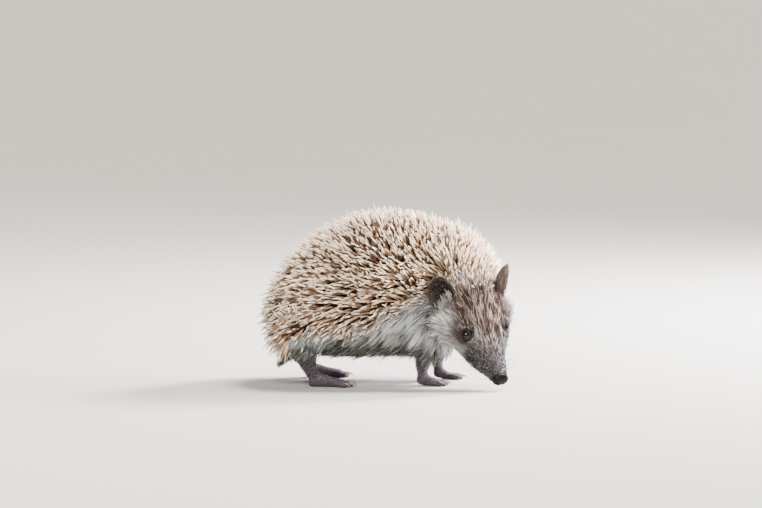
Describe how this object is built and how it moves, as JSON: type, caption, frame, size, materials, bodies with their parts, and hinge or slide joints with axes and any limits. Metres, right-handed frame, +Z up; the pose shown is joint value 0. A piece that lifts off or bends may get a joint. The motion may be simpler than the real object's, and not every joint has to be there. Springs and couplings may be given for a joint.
{
  "type": "hedgehog",
  "caption": "Still, life-size hedgehog standing with its head turned to its right and lowered, as if sniffing the floor.",
  "frame": {"origin": "on the floor, under the middle of the box that holds the animal", "axes": "+X forward along the trunk, +Y to the animal's left, +Z up; the head is turned towards -Y"},
  "size_m": [0.1585, 0.1122, 0.1093],
  "materials": {
    "spines": "cream spines banded with dark brown, satin, each a smooth tapering rod",
    "fur": "long coarse white-grey fur, matt",
    "face": "short brown and cream streaked fur, grey towards the nose",
    "skin": "nearly bare grey-lilac skin, finely wrinkled",
    "dark_skin": "thin dark brown ear, faintly downy",
    "wet": "wet black, glossy, on the eyes and the nose pad"
  },
  "bodies": {
    "root": {"trunk": "spines", "neck": "fur", "head": "face", "nose": "wet", "eye_left": "wet", "eye_right": "wet", "ear_left": "dark_skin", "ear_right": "dark_skin", "tail": "skin", "leg_front_left": "skin", "leg_front_right": "skin", "leg_hind_left": "skin", "leg_hind_right": "skin", "foot_front_left": "skin", "foot_front_right": "skin", "foot_hind_left": "skin", "foot_hind_right": "skin"}
  },
  "joints": []
}
